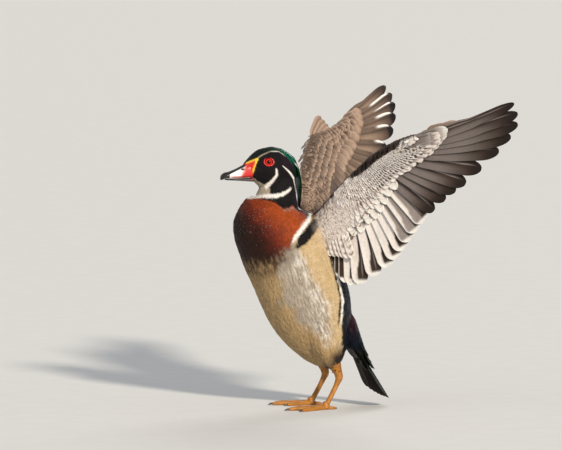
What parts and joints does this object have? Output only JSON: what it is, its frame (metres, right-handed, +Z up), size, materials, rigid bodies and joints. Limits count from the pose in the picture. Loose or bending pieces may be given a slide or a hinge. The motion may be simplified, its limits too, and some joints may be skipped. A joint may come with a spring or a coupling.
{
  "type": "wood duck figure",
  "caption": "Male wood duck, life size, standing tall on both webbed feet with its wings raised and spread, head to the left in full colour.",
  "frame": {"origin": "The floor under the middle of the outer box of the whole bird, wings included.", "axes": "+X from bill to tail, so the bird faces -X. +Y towards the bird's right wing. +Z up from the floor."},
  "size_m": [0.2924, 0.5354, 0.3752],
  "materials": {
    "head_plumage": "iridescent feather",
    "neck_plumage": "feather",
    "body_plumage": "feather",
    "bill": "satin horn",
    "bill_lower": "satin horn",
    "eye": "glossy",
    "wing_feathers": "feather",
    "tail_feathers": "feather",
    "legs": "scaled skin"
  },
  "bodies": {
    "root": {"head": "head_plumage", "neck": "neck_plumage", "torso": "body_plumage", "bill_upper": "bill", "bill_lower": "bill_lower", "eye_left": "eye", "eye_right": "eye", "wing_left": "wing_feathers", "wing_right": "wing_feathers", "tail": "tail_feathers", "thigh_left": "body_plumage", "thigh_right": "body_plumage", "leg_left": "legs", "leg_right": "legs", "foot_left": "legs", "foot_right": "legs"}
  },
  "joints": []
}
